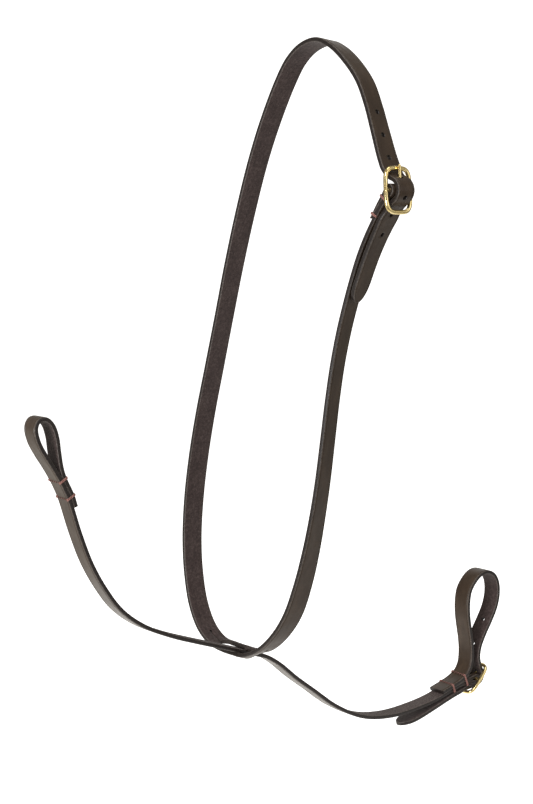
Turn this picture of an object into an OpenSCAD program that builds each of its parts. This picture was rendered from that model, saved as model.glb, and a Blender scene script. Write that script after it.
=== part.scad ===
// Standing martingale: neck strap, slotted-through body strap, two centre-bar buckles.
// Origin: flesh side of the neck strap at its crest, mid width.  +Z up, +Y towards the girth.

/* [Straps] */
// Width of the neck strap
neck_w = 19; // [17:0.5:20]
// Width of the body strap
body_w = 16; // [14:0.5:17]
// Width of the girth loop strap
girth_w = 18; // [16:0.5:19]
// Thickness of the leather
leather_t = 3.4; // [3:0.1:3.4]
// Thickness of the leather where it is folded round a buckle bar
fold_t = 3.2; // [2.6:0.1:3.2]
// Thickness of the pared-down end of a fold
pared_t = 1.4; // [1:0.1:1.4]

/* [Holes] */
// Diameter of a punched hole
hole_d = 3.2; // [2.5:0.1:3.6]
// Spacing of the holes in the neck strap
neck_hole_step = 18; // [16:0.5:20]
// Spacing of the holes in the girth loop
girth_hole_step = 25; // [22:0.5:26]
// Length of the slit at the bottom of the neck strap
slit_len = 80; // [70:1:90]

/* [Buckles] */
// Outside width of a buckle frame
buckle_w = 27; // [27:0.5:29]
// Outside length of a buckle frame
buckle_len = 35; // [35:0.5:37]
// Diameter of the frame's rod
rod_d = 3.4; // [3.3:0.1:3.5]
// Diameter of the frame's centre bar
bar_d = 3.2; // [3:0.1:3.2]
// Diameter of the tongue
tongue_d = 2.4; // [2:0.1:2.6]

/* [Stitching] */
// Diameter of the thread
thread_d = 0.9; // [0.7:0.1:1.1]

/* [Hidden] */

// X of the body strap's middle plane
body_x = -105;
// Radial clearance between a folded strap or a tongue's eye and its bar
bar_play = 0.08;
// Clearance in a bend of the body strap
bend_play = 0.12;
// Width of the slit where its lips lie together
slit_cut = 0.5;
// Angle at which the body strap goes down through the slit
slit_slope = 19;
// Clearance between the body strap and each lip of the slit
lip_play = 0.35;
// Share of the slit's half length over which the lips stand fully open
lip_flat = 0.34;
// Length of a billet's rounded point
point_len = 16;
// Width of a billet where its buckle pinches it, and lengths before and after the tongue's hole
pinch_w = 16;
pinch_before = 4;
pinch_after = 30;
// Length over which a billet narrows to that width
pinch_ease = 10;
// How far the spare holes lie short of whole steps from the tongue's hole
neck_hole_shift = 2;
girth_hole_shift = 4.5;
// Radius of a buckle's bar
bar_r = bar_d / 2;
// Radius of the leather's middle where it is folded round a bar
fold_r = bar_r + fold_t / 2;
// Distance from a buckle's bar to the middle of either end rod
reach = (buckle_len - rod_d) / 2;
// Width of the tongue's eye, and of the slot for it in a fold
eye_w = 3.4;
slot_w = 4.4;
// Outside radius of the tongue's eye, and of the slot for it
eye_r = 3.2;
slot_r = 6;
// Distance of the tongue from the frame's plane, and height at which it crosses the billet
tongue_x = 2.8;
cross_z = 9;
// Exponent of the frame's rounded outline: 2 is an ellipse
frame_curve = 4;
// Gap between laid thread and the leather under it
thread_gap = 0.05;
// Steps between two route points, and sides of a rod
route_steps = 3;
rod_sides = 12;

// Centre of the neck buckle's bar, as X and Z, and its lean from upright
neck_bar = [81, -111];
neck_lean = -5;
// Centre of the girth buckle's bar, as Y and Z, and its lean from upright
girth_bar = [281, -566];
girth_lean = 44;

// Neck strap from the buckle fold, round the loop and down to the billet's point: X, Z, twist
neck_route = [
    [77, -118, 0], [72.5, -122, -2], [66.5, -129, -5], [56, -143, -10], [47, -158, -13],
    [38.5, -176, -16], [31, -195, -17], [24, -215, -18], [17, -240, -19], [11, -269, -19],
    [5.5, -302, -18], [0, -334, -16], [-6, -362, -13], [-13, -389, -8], [-23, -419, -2],
    [-36, -447, 2], [-53, -468, 2], [-73, -483.5, 1], [-91, -489.8, 0], [-105, -490.6, 0],
    [-119, -490.6, 0], [-136, -488.8, 0], [-151, -480, 0], [-163, -462, 0], [-170, -435, 0],
    [-172, -405, -1], [-169, -370, -3], [-162, -333, -3], [-152, -295, -2], [-139, -254, 0],
    [-125, -210, 2],
    [-111, -166, 1], [-96, -124, 0], [-80, -85, -1], [-63.5, -53, -3], [-45, -24, -4],
    [-33, -10, -4], [-18, -1, -5], [0, 1.7, -5], [15, -4, -6], [30, -15, -6],
    [45, -31, -7], [54, -48, -8], [62, -68, -6], [70, -88, -2], [75.2, -97.6, 0],
    [79.8, -101.8, 0], [84.6, -103.9, 0], [88, -107.6, 0], [88.9, -112, 0], [87, -116.2, 0],
    [82.4, -119.9, 0], [77.6, -123.6, 0], [72.8, -129, -3], [63, -143, -9], [53.5, -159, -12],
    [44.5, -177, -13], [37, -193, -14]];
// Body strap from the top of the noseband loop to the girth buckle fold: Y, Z
body_route = [
    [-197, -286], [-195, -296.5], [-189, -307.5], [-182, -318], [-176, -328], [-169.5, -341.5],
    [-160, -370], [-150, -395], [-138, -416], [-123, -435.5], [-103, -451], [-77, -463.5],
    [-50, -473.5], [-25, -482], [0, -490.6], [12, -494.75], [24, -499.1], [38, -508], [56, -523],
    [76, -538], [104, -558.5], [136, -574], [170, -580], [205, -579], [228, -576], [248, -571],
    [262, -567.8], [272, -567.8]];
// Noseband loop from its top, down to the end that is sewn back on the body strap: Y, Z
tail_route = [
    [-197, -286], [-194, -280.5], [-188, -280], [-182.5, -285], [-179, -294.5],
    [-177.5, -305.5], [-175.5, -318], [-172.7, -326.5], [-166.1, -340.2], [-163.4, -348.8]];
// Girth loop strap from its sewn end, round the loop and down to the billet's point: Y, Z
girth_route = [
    [235, -570.5], [248.5, -567], [259, -563.7], [267.3, -559.3], [272.6, -552], [274.2, -540],
    [273, -527.5], [270.5, -515], [268.3, -502], [268, -490], [270.2, -479], [276.5, -470.5],
    [285, -464.7], [294, -463.7], [302.3, -467.5], [307.5, -475.5], [308.8, -487],
    [305.7, -499.5], [298.6, -512], [290.5, -524], [284.5, -535.5], [283, -545.3], [285, -552.8],
    [288.9, -559.6], [289.4, -566], [285.2, -570.4], [279.6, -572], [273.8, -572.2], [266.5, -572.9],
    [249, -576.4], [226, -582.8], [204, -588.6], [184.5, -592]];

// Points on body_route where the strap bends at a joint or a node ends
NOSE_LOOP_BEND = 6;
NOSE_SLIT_BEND = 12;
GIRTH_SLIT_BEND = 18;
GIRTH_END_BEND = 22;

// ---- smooth routes -------------------------------------------------------------------------

function gap(p, q) = norm([q[0] - p[0], q[1] - p[1]]);
function mix(p, q, tp, tq, t) = p * ((tq - t) / (tq - tp)) + q * ((t - tp) / (tq - tp));
// Point at share u of the way from b to c on the centripetal spline through a, b, c, d
function spline(a, b, c, d, u) =
    let (tb = sqrt(gap(a, b)), tc = tb + sqrt(gap(b, c)), td = tc + sqrt(gap(c, d)),
         t = tb + (tc - tb) * u,
         p = mix(a, b, 0, tb, t), q = mix(b, c, tb, tc, t), r = mix(c, d, tc, td, t))
    mix(mix(p, q, 0, tc, t), mix(q, r, tb, td, t), tb, tc, t);
// The route from point first to point last, with more points between
function smooth(route, first, last, steps = route_steps) = [
    for (i = [first : last - 1])
        let (a = i == 0 ? 2 * route[0] - route[1] : route[i - 1],
             d = i == len(route) - 2 ? 2 * route[i + 1] - route[i] : route[i + 2])
        for (k = [0 : steps - 1]) spline(a, route[i], route[i + 1], d, k / steps),
    route[last]];
function unit(v) = v / norm(v);

// A station is [centre, half width vector, half thickness vector]
NECK = 0;
BODY = 1;
function spot(p, side) = side == NECK ? [p[0], 0, p[1]] : [body_x, p[0], p[1]];
function across(side) = side == NECK ? [0, 1, 0] : [1, 0, 0];
function heading(path, i, side) =
    unit(spot(path[min(i + 1, len(path) - 1)], side) - spot(path[max(i - 1, 0)], side));
// path holds [u, v, twist, width, thickness]
function stations(path, side) = [
    for (i = [0 : len(path) - 1])
        let (p = path[i], t = heading(path, i, side), a = across(side),
             w = cos(p[2]) * a + sin(p[2]) * cross(t, a))
        [spot(p, side), w * p[3] / 2, cross(w, t) * p[4] / 2]];

function lengths(path) = [for (s = 0, i = 0; i < len(path);
    i = i + 1, s = i < len(path) ? s + gap(path[i - 1], path[i]) : s) s];

// Solid swept through the stations, with a four-cornered section
module ribbon(st) {
    n = len(st);
    corners = [for (s = st) each [s[0] - s[1] - s[2], s[0] + s[1] - s[2],
                                  s[0] + s[1] + s[2], s[0] - s[1] + s[2]]];
    sides = [for (i = [0 : n - 2], k = [0 : 3])
        [4 * i + k, 4 * i + (k + 1) % 4, 4 * i + 4 + (k + 1) % 4, 4 * i + 4 + k]];
    polyhedron(corners, concat([[3, 2, 1, 0]], sides, [[for (k = [0 : 3]) 4 * n - 4 + k]]));
}

// ---- leather --------------------------------------------------------------------------------

// Adds twist, width and thickness to a route's points, with a rounded point at a billet's end
function point_share(u) = u >= 1 ? 1 : max(0.25, sqrt(1 - pow(1 - max(u, 0), 2.2)));
// How much of the buckle's pinch there is at a distance past the tongue's hole
function ease(u) = u <= 0 ? 0 : u >= 1 ? 1 : (1 - cos(180 * u)) / 2;
function pinch(d) = ease((d + pinch_before) / pinch_ease + 1) * ease((pinch_after - d) / pinch_ease + 1);
function billet(path, w, hole) =
    let (s = lengths(path), end = s[len(s) - 1], mark = s[nearest(path, hole)])
    [for (i = [0 : len(path) - 1])
        [path[i][0], path[i][1], len(path[i]) > 2 ? path[i][2] : 0,
         (w - (w - pinch_w) * pinch(s[i] - mark)) * point_share((end - s[i]) / point_len),
         leather_t]];
function plain(path, w, t = leather_t) = [for (p = path) [p[0], p[1], 0, w, t]];
function joined(a, b) = concat([for (i = [0 : len(a) - 2]) a[i]], b);
// Route with its last span stepped finely, for a rounded end
function to_point(route) =
    joined(smooth(route, 0, len(route) - 2), smooth(route, len(route) - 2, len(route) - 1, 8));
// Leather's middle round a bar, from one angle to another
function fold(bar, from, to) =
    [for (k = [0 : 9]) let (a = from + (to - from) * k / 9) bar + fold_r * [cos(a), sin(a)]];

// Folded-back end of the neck strap, from its pared end to the buckle's bar: X, Z, thickness
neck_return = [[62, -131, 0.8], [64.6, -127.7, pared_t], [70.2, -120.2, 2.2], [74.4, -115.3, 3]];
// Folded-back end of the body strap, from the girth buckle's bar to its pared end
girth_return = [[272, -564.5, 3], [264, -565, 2], [256, -567.1, 0.9], [251.5, -568.3, 0.4]];
function pared(route, w) = [for (p = route) [p[0], p[1], 0, w, p[2]]];

neck_path = concat(pared(neck_return, neck_w), plain(fold(neck_bar, 139, -41), neck_w, fold_t),
                   billet(to_point(neck_route), neck_w, crossing(neck_bar, neck_lean)));
neck_stations = stations(neck_path, NECK);
neck_lengths = lengths(neck_path);
girth_path = billet(to_point(girth_route), girth_w, crossing(girth_bar, girth_lean));

// Number of the path's point nearest to a place
function nearest(path, place) =
    let (d = [for (p = path) gap(p, place)], low = min(d)) [for (i = [0 : len(d) - 1]) if (d[i] == low) i][0];
// Station at a length along the path
function station_at(path, side, s) =
    let (l = lengths(path), i = max([for (k = [0 : len(l) - 2]) if (l[k] <= s) k]),
         u = (s - l[i]) / (l[i + 1] - l[i]), st = stations(path, side))
    [st[i][0] + (st[i + 1][0] - st[i][0]) * u, st[i][1], st[i][2]];

// Middle of the slit along the neck strap
slit_mid = neck_lengths[nearest(neck_path, [-108, -490.6])];
function slit_share(s) = abs(s - slit_mid) / (slit_len / 2);
// How far the lips stand apart: 1 where the body strap passes, 0 at the slit's ends
function lip_open(v) = v >= 1 ? 0 : v <= lip_flat ? 1 : (1 + cos(180 * (v - lip_flat) / (1 - lip_flat))) / 2;
lip_shift = (leather_t + lip_play) / cos(slit_slope) - neck_w / 4 * sin(slit_slope);

function parted(s) = slit_share(s) < 1;
// Stations where the slit has just closed, at either end
slit_ends = [max([for (i = [0 : len(neck_lengths) - 1])
                 if (neck_lengths[i] < slit_mid && !parted(neck_lengths[i])) i]),
             min([for (i = [0 : len(neck_lengths) - 1])
                 if (neck_lengths[i] > slit_mid && !parted(neck_lengths[i])) i])];

// The neck strap's eight corners at one station, four for each half
function lip_corners(st, open, cut) =
    let (tilt = slit_slope * open, w = unit(st[1]), n = unit(st[2]), q = norm(st[1]) / 2,
         h = norm(st[2]), across_lip = cos(tilt) * w - sin(tilt) * n,
         up_lip = cos(tilt) * n + sin(tilt) * w, off = w * q * cos(tilt) + n * lip_shift * open)
    [for (side = [[st[0] - off, q, q - cut], [st[0] + off, q - cut, q]])
        each [side[0] - across_lip * side[1] - up_lip * h, side[0] + across_lip * side[2] - up_lip * h,
              side[0] + across_lip * side[2] + up_lip * h, side[0] - across_lip * side[1] + up_lip * h]];

// Strap swept like a ribbon, but parted down its middle along the slit
module slit_ribbon(st, s) {
    n = len(st);
    corners = [for (i = [0 : n - 1])
        each lip_corners(st[i], lip_open(slit_share(s[i])), parted(s[i]) ? slit_cut / 2 : 0)];
    // Where the strap isn't parted the two halves share their inner corners
    function at(i, k) = 8 * i + (parted(s[i]) ? k : k == 4 ? 1 : k == 7 ? 2 : k);
    outer_walls = [for (i = [0 : n - 2], e = [[0, 1], [4, 5], [5, 6], [6, 7], [2, 3], [3, 0]])
        [at(i, e[0]), at(i, e[1]), at(i + 1, e[1]), at(i + 1, e[0])]];
    inner_walls = [for (i = [0 : n - 2]) if (parted(s[i]) || parted(s[i + 1]))
        for (e = [[1, 2], [7, 4]]) [at(i, e[0]), at(i, e[1]), at(i + 1, e[1]), at(i + 1, e[0])]];
    caps = [[at(0, 3), at(0, 2), at(0, 1), at(0, 0)], [at(0, 7), at(0, 6), at(0, 5), at(0, 4)],
            [for (k = [0 : 3]) at(n - 1, k)], [for (k = [4 : 7]) at(n - 1, k)]];
    polyhedron(corners, concat(outer_walls, inner_walls, caps));
}

// Punched hole square through the leather at a station
module punch(st) {
    n = unit(st[2]);
    translate(st[0]) rotate([0, acos(n[2]), atan2(n[1], n[0])])
        cylinder(h = leather_t + 1, d = hole_d, center = true, $fn = 24);
}

module at_neck_buckle() translate([neck_bar[0], 0, neck_bar[1]]) rotate([0, neck_lean, 0]) children();
module at_girth_buckle() translate([body_x, girth_bar[0], girth_bar[1]]) rotate([0, girth_lean, 90]) children();
// Rod along a buckle's bar
module cross_rod(r, w) rotate([90, 0, 0]) cylinder(h = w, r = r, center = true, $fn = 48);
// Room that a fold gives to its buckle: a bore for the bar and a slot for the tongue's eye
module fold_room(w) {
    cross_rod(bar_r + bar_play, w + 2);
    cross_rod(slot_r, slot_w);
}
// Hole in a billet for the tongue, long enough for the swing of the tongue and the frame
module tongue_hole(from, to) {
    hull() for (a = [from, to]) rotate([0, a, 0]) translate([tongue_x, 0, cross_z - 5])
        cylinder(h = 11, d = tongue_d + 0.8, $fn = 24);
}
// Where the tongue crosses the billet, in the plane of the strap's route
function crossing(bar, lean) =
    bar + [tongue_x * cos(lean) + cross_z * sin(lean), cross_z * cos(lean) - tongue_x * sin(lean)];

// ---- the neck strap and its buckle ----------------------------------------------------------

neck_tongue_s = neck_lengths[nearest(neck_path, crossing(neck_bar, neck_lean))];
module neck_strap() color("#4a3b33") difference() {
    slit_ribbon(neck_stations, neck_lengths);
    at_neck_buckle() fold_room(neck_w);
    at_neck_buckle() tongue_hole(-2, 9);
    for (k = [-3, -2, -1, 1, 2, 3])
        punch(station_at(neck_path, NECK, neck_tongue_s + k * neck_hole_step - neck_hole_shift));
    for (end = slit_ends) punch(neck_stations[end]);
}

// Round rod bent to the buckle's outline, with the bar across its middle
function squircle(v) = sign(v) * pow(abs(v), 2 / frame_curve);
function frame_spot(a) = [0, (buckle_w - rod_d) / 2 * squircle(cos(a)), reach * squircle(sin(a))];
module buckle_frame() {
    steps = 56;
    ring = [for (i = [0 : steps - 1]) let (a = 360 * (i + 0.5) / steps,
            t = unit(frame_spot(a + 1) - frame_spot(a - 1)), n = cross([1, 0, 0], t))
        for (k = [0 : rod_sides - 1]) let (b = 360 * k / rod_sides)
            frame_spot(a) + rod_d / 2 * (cos(b) * n + sin(b) * [1, 0, 0])];
    walls = [for (i = [0 : steps - 1], k = [0 : rod_sides - 1])
        let (j = (i + 1) % steps, m = (k + 1) % rod_sides)
        [rod_sides * i + k, rod_sides * j + k, rod_sides * j + m, rod_sides * i + m]];
    polyhedron(ring, walls);
    cross_rod(bar_r, buckle_w - rod_d);
}
// Eye on the bar, and a prong that rests on the frame's end rod
tongue_line = [[2, 1.6], [tongue_x - 0.1, 7], [tongue_x + 0.1, 12],
               [(rod_d + tongue_d) / 2 + 0.1, reach], [2.6, reach + 2.6]];
module buckle_tongue() difference() {
    union() {
        cross_rod(eye_r, eye_w);
        for (i = [0 : len(tongue_line) - 2]) hull() for (p = [tongue_line[i], tongue_line[i + 1]])
            translate([p[0], 0, p[1]]) sphere(d = tongue_d, $fn = 16);
    }
    cross_rod(bar_r + bar_play, eye_w + 1);
}
module neck_buckle_frame() color("#d6bd78") at_neck_buckle() buckle_frame();
module neck_buckle_tongue() color("#d6bd78") at_neck_buckle() buckle_tongue();

// ---- the body strap and its loops -----------------------------------------------------------

// Ends of a bend: one part ends in a half round, the other is hollowed to turn on it
module bend_rod(i, extra = 0)
    translate([body_x, body_route[i][0], body_route[i][1]]) rotate([0, 90, 0])
        cylinder(h = body_w + extra * 10, r = leather_t / 2 + extra, center = true, $fn = 48);
module body_run(first, last) ribbon(stations(plain(smooth(body_route, first, last), body_w), BODY));

module body_strap_middle() color("#4a3b33") {
    body_run(NOSE_SLIT_BEND, GIRTH_SLIT_BEND);
    bend_rod(NOSE_SLIT_BEND);
    bend_rod(GIRTH_SLIT_BEND);
}
module body_strap_noseband_run() color("#4a3b33") {
    bend_rod(NOSE_LOOP_BEND);
    difference() {
        body_run(NOSE_LOOP_BEND, NOSE_SLIT_BEND);
        bend_rod(NOSE_SLIT_BEND, bend_play);
    }
}
module noseband_loop() color("#4a3b33") difference() {
    tail = smooth(tail_route, 0, len(tail_route) - 1);
    back = [for (i = [len(tail) - 1 : -1 : 1]) tail[i]];
    ribbon(stations(plain(concat(back, smooth(body_route, 0, NOSE_LOOP_BEND)), body_w), BODY));
    bend_rod(NOSE_LOOP_BEND, bend_play);
}
module body_strap_girth_run() color("#4a3b33") {
    bend_rod(GIRTH_END_BEND);
    difference() {
        body_run(GIRTH_SLIT_BEND, GIRTH_END_BEND);
        bend_rod(GIRTH_SLIT_BEND, bend_play);
    }
}
module body_strap_girth_end() color("#4a3b33") difference() {
    ribbon(stations(concat(plain(smooth(body_route, GIRTH_END_BEND, len(body_route) - 1), body_w),
                           plain(fold(girth_bar, -100, 85), body_w, fold_t),
                           pared(girth_return, body_w)), BODY));
    bend_rod(GIRTH_END_BEND, bend_play);
    at_girth_buckle() fold_room(body_w);
}
girth_tongue_s = lengths(girth_path)[nearest(girth_path, crossing(girth_bar, girth_lean))];
module girth_loop_strap() color("#4a3b33") difference() {
    ribbon(stations(girth_path, BODY));
    at_girth_buckle() tongue_hole(-5, 6);
    for (k = [-2, -1, 1, 2])
        punch(station_at(girth_path, BODY, girth_tongue_s + k * girth_hole_step - girth_hole_shift));
}
module girth_buckle_frame() color("#d6bd78") at_girth_buckle() buckle_frame();
module girth_buckle_tongue() color("#d6bd78") at_girth_buckle() buckle_tongue();

// ---- stitching --------------------------------------------------------------------------------

// Row of hand stitching: a loop of thread round the layers it holds.
// place and slope are the middle of the stack and the strap's direction there
module stitch_row(side, place, slope, w, stack) {
    inner = [thread_d + 1, w + 2 * thread_gap, stack + 2 * thread_gap];
    outer = [thread_d, w + 2 * thread_gap + 2 * thread_d, stack + 2 * thread_gap + 2 * thread_d];
    translate(spot(place, side)) rotate([0, 0, side == NECK ? 0 : 90]) rotate([0, -slope, 0])
        color("#a2665a") difference() {
            cube(outer, center = true);
            cube(inner, center = true);
        }
}
module neck_stitch_upper() stitch_row(NECK, [75.6, -116.6], 47, neck_w, 7);
module neck_stitch_lower() stitch_row(NECK, [65.7, -128.4], 52, neck_w, 5.2);
module noseband_stitch_upper() stitch_row(BODY, [-174.35, -327.3], -65, body_w, 7.1);
module noseband_stitch_lower() stitch_row(BODY, [-167.8, -340.9], -66.5, body_w, 7.2);
module girth_stitch_outer() stitch_row(BODY, [249, -568.9], 15, girth_w, 7.6);
module girth_stitch_inner() stitch_row(BODY, [265.5, -564.1], 18, girth_w, 11);

neck_strap();
neck_stitch_upper();
neck_stitch_lower();
neck_buckle_frame();
neck_buckle_tongue();
body_strap_middle();
body_strap_noseband_run();
noseband_loop();
noseband_stitch_upper();
noseband_stitch_lower();
body_strap_girth_run();
body_strap_girth_end();
girth_loop_strap();
girth_stitch_inner();
girth_stitch_outer();
girth_buckle_frame();
girth_buckle_tongue();
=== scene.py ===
import math

import bmesh
import bpy
import numpy as np
from mathutils import Matrix, Vector


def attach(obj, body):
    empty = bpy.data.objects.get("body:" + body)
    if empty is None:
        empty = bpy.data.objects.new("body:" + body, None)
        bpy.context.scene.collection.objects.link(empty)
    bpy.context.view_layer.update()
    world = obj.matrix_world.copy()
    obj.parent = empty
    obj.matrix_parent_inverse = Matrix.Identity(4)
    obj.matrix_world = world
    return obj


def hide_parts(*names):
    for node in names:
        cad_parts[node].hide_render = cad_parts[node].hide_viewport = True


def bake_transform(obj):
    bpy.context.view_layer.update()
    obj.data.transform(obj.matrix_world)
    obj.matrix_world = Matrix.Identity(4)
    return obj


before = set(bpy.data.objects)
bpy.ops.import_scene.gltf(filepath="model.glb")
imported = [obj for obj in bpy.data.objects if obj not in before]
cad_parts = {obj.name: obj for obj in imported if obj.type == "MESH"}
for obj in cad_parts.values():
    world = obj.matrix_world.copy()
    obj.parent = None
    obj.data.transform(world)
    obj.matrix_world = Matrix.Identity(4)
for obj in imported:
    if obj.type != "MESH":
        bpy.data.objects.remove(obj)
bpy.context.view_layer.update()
MM = 0.001

# ---- camera -----------------------------------------------------------------------------------

LENS, SENSOR_HEIGHT = 46.18, 24
EYE = Vector((0.8954, -0.7808, -0.1387))
LOOK = Vector((-0.7725, 0.6252, -0.1112)).normalized()
SIDE = LOOK.cross(Vector((0, 0, 1))).normalized()
TOP = SIDE.cross(LOOK)
camera = bpy.data.objects.new("camera", bpy.data.cameras.new("camera"))
bpy.context.scene.collection.objects.link(camera)
camera.data.sensor_fit = "VERTICAL"
camera.data.sensor_height = SENSOR_HEIGHT
camera.data.lens = LENS
camera.data.clip_start = 0.01
camera.data.clip_end = 40
camera.matrix_world = Matrix((
    (SIDE.x, TOP.x, -LOOK.x, EYE.x), (SIDE.y, TOP.y, -LOOK.y, EYE.y),
    (SIDE.z, TOP.z, -LOOK.z, EYE.z), (0, 0, 0, 1)))
bpy.context.scene.camera = camera

# ---- sizes, in metres, as in the CAD source ---------------------------------------------------

NECK_W, BODY_W, GIRTH_W, THICK, FOLD_T = 0.019, 0.016, 0.018, 0.0034, 0.0032
BODY_X = -0.105
ROD_D, BAR_D, TONGUE_D = 0.0034, 0.0032, 0.0024
BUCKLE_W, BUCKLE_L, FRAME_CURVE = 0.027, 0.035, 4
FOLD_R = BAR_D / 2 + FOLD_T / 2
SLIT_SLOPE, LIP_PLAY, LIP_FLAT, LIP_END, SLIT_CUT, SLIT_LEN = 19, 0.00035, 0.23, 0.8, 0.0003, 0.080
HOLE_D, SLIT_END_HOLE_R = 0.0032, 0.0011
NECK_HOLE_STEP, NECK_HOLE_SHIFT = 0.018, 0.002
GIRTH_HOLE_STEP, GIRTH_HOLE_SHIFT = 0.025, 0.0045
POINT_LEN = 0.016
TONGUE_X, TONGUE_HOLE_R, TONGUE_HOLE_STRETCH = 0.0028, 0.0016, 1.7
FOLD_SLOT_R, FOLD_SLOT_W = 0.0059, 0.0044
NECK_BAR, NECK_LEAN = (0.081, -0.111), -5
GIRTH_BAR, GIRTH_LEAN = (0.281, -0.566), 44
PINCH_W, PINCH_BEFORE, PINCH_AFTER, PINCH_EASE = 0.016, 0.004, 0.030, 0.010

NECK_ROUTE = [
    (77, -118, 0), (72.5, -122, -2), (66.5, -129, -5), (56, -143, -10), (47, -158, -13),
    (38.5, -176, -16), (31, -195, -17), (24, -215, -18), (17, -240, -19), (11, -269, -19),
    (5.5, -302, -18), (0, -334, -16), (-6, -362, -13), (-13, -389, -8), (-23, -419, -2),
    (-36, -447, 2), (-53, -468, 2), (-73, -483.5, 1), (-91, -489.8, 0), (-105, -490.6, 0),
    (-119, -490.6, 0), (-136, -488.8, 0), (-151, -480, 0), (-163, -462, 0), (-170, -435, 0),
    (-172, -405, -1), (-169, -370, -3), (-162, -333, -3), (-152, -295, -2), (-139, -254, 0),
    (-125, -210, 2), (-111, -166, 1), (-96, -124, 0), (-80, -85, -1), (-63.5, -53, -3),
    (-45, -24, -4), (-33, -10, -4), (-18, -1, -5), (0, 1.7, -5), (15, -4, -6), (30, -15, -6),
    (45, -31, -7), (54, -48, -8), (62, -68, -6), (70, -88, -2), (75.2, -97.6, 0),
    (79.8, -101.8, 0), (84.6, -103.9, 0), (88, -107.6, 0), (88.9, -112, 0), (87, -116.2, 0),
    (82.4, -119.9, 0), (77.6, -123.6, 0), (72.8, -129, -3), (63, -143, -9), (53.5, -159, -12),
    (44.5, -177, -13), (37, -193, -14)]
NECK_RETURN = [(62, -131, 0.8), (64.6, -127.7, 1.4), (70.2, -120.2, 2.2), (74.4, -115.3, 3)]
BODY_ROUTE = [
    (-197, -286), (-195, -296.5), (-189, -307.5), (-182, -318), (-176, -328), (-169.5, -341.5),
    (-160, -370), (-150, -395), (-138, -416), (-123, -435.5), (-103, -451), (-77, -463.5),
    (-50, -473.5), (-25, -482), (0, -490.6), (12, -494.75), (24, -499.1), (38, -508), (56, -523),
    (76, -538), (104, -558.5), (136, -574), (170, -580), (205, -579), (228, -576),
    (248, -571), (262, -567.8), (272, -567.8)]
TAIL_ROUTE = [
    (-197, -286), (-194, -280.5), (-188, -280), (-182.5, -285), (-179, -294.5),
    (-177.5, -305.5), (-175.5, -318), (-172.7, -326.5), (-166.1, -340.2), (-163.4, -348.8)]
GIRTH_RETURN = [(272, -564.5, 3), (264, -565, 2), (256, -567.1, 0.9), (251.5, -568.3, 0.4)]
GIRTH_ROUTE = [
    (235, -570.5), (248.5, -567), (259, -563.7), (267.3, -559.3), (272.6, -552), (274.2, -540),
    (273, -527.5), (270.5, -515), (268.3, -502), (268, -490), (270.2, -479), (276.5, -470.5),
    (285, -464.7), (294, -463.7), (302.3, -467.5), (307.5, -475.5), (308.8, -487),
    (305.7, -499.5), (298.6, -512), (290.5, -524), (284.5, -535.5), (283, -545.3), (285, -552.8),
    (288.9, -559.6), (289.4, -566), (285.2, -570.4), (279.6, -572), (273.8, -572.2),
    (266.5, -572.9), (249, -576.4), (226, -582.8), (204, -588.6), (184.5, -592)]

# ---- routes -----------------------------------------------------------------------------------


def spline(points, steps=20):
    """Dense centripetal spline through points; columns after the second go along for the ride."""
    p = np.array(points, float)
    gap = lambda a, b: math.sqrt(np.linalg.norm(a[:2] - b[:2]))
    out = []
    for i in range(len(p) - 1):
        a = 2 * p[0] - p[1] if i == 0 else p[i - 1]
        b, c = p[i], p[i + 1]
        d = 2 * c - b if i == len(p) - 2 else p[i + 2]
        tb = gap(a, b)
        tc = tb + gap(b, c)
        td = tc + gap(c, d)
        for k in range(steps):
            t = tb + (tc - tb) * k / steps
            mix = lambda q, r, tq, tr: q * ((tr - t) / (tr - tq)) + r * ((t - tq) / (tr - tq))
            q, r, s = mix(a, b, 0, tb), mix(b, c, tb, tc), mix(c, d, tc, td)
            out.append(mix(mix(q, r, 0, tc), mix(r, s, tb, td), tb, tc))
    out.append(p[-1])
    return np.array(out)


def columns(route, twist=None, thick=None):
    """Rows of u, v (metres), twist (degrees), thickness (metres)."""
    route = np.array(route, float)
    n = len(route)
    tw = np.zeros(n) if twist is None else route[:, twist]
    th = np.full(n, THICK) if thick is None else route[:, thick] * MM
    return np.column_stack([route[:, :2] * MM, tw, th])


def fold(bar, start, end, n=26):
    a = np.radians(np.linspace(start, end, n))
    return np.column_stack([bar[0] + FOLD_R * np.cos(a), bar[1] + FOLD_R * np.sin(a),
                            np.zeros(n), np.full(n, FOLD_T)])


class Path:
    """A strap's middle line with its frame at any length along it."""

    def __init__(self, rows, plane):
        rows = np.array(rows)
        step = np.linalg.norm(np.diff(rows[:, :2], axis=0), axis=1)
        keep = np.concatenate([[True], step > 1e-7])
        rows = rows[keep]
        gaps = np.linalg.norm(np.diff(rows[:, :2], axis=0), axis=1)
        self.s = np.concatenate([[0], np.cumsum(gaps)])
        self.rows, self.plane, self.length = rows, plane, float(self.s[-1])
        self.axis = np.array((0, 1, 0) if plane == "neck" else (1, 0, 0), float)

    def at(self, s):
        return np.array([np.interp(s, self.s, self.rows[:, k]) for k in range(4)])

    def spot(self, u, v):
        return np.array((u, 0, v) if self.plane == "neck" else (BODY_X, u, v), float)

    def near(self, u, v):
        """Length at which the path passes nearest to a place given in millimetres."""
        d = np.hypot(self.rows[:, 0] - u * MM, self.rows[:, 1] - v * MM)
        return float(self.s[d.argmin()])

    def frame(self, s):
        """Middle, direction, across and thickness vectors, and the thickness."""
        a, b = self.at(max(s - 0.0012, 0)), self.at(min(s + 0.0012, self.length))
        c = self.at(s)
        t = self.spot(*b[:2]) - self.spot(*a[:2])
        t /= np.linalg.norm(t)
        twist = math.radians(c[2])
        w = math.cos(twist) * self.axis + math.sin(twist) * np.cross(t, self.axis)
        return self.spot(*c[:2]), t, w, np.cross(w, t), c[3]


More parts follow.
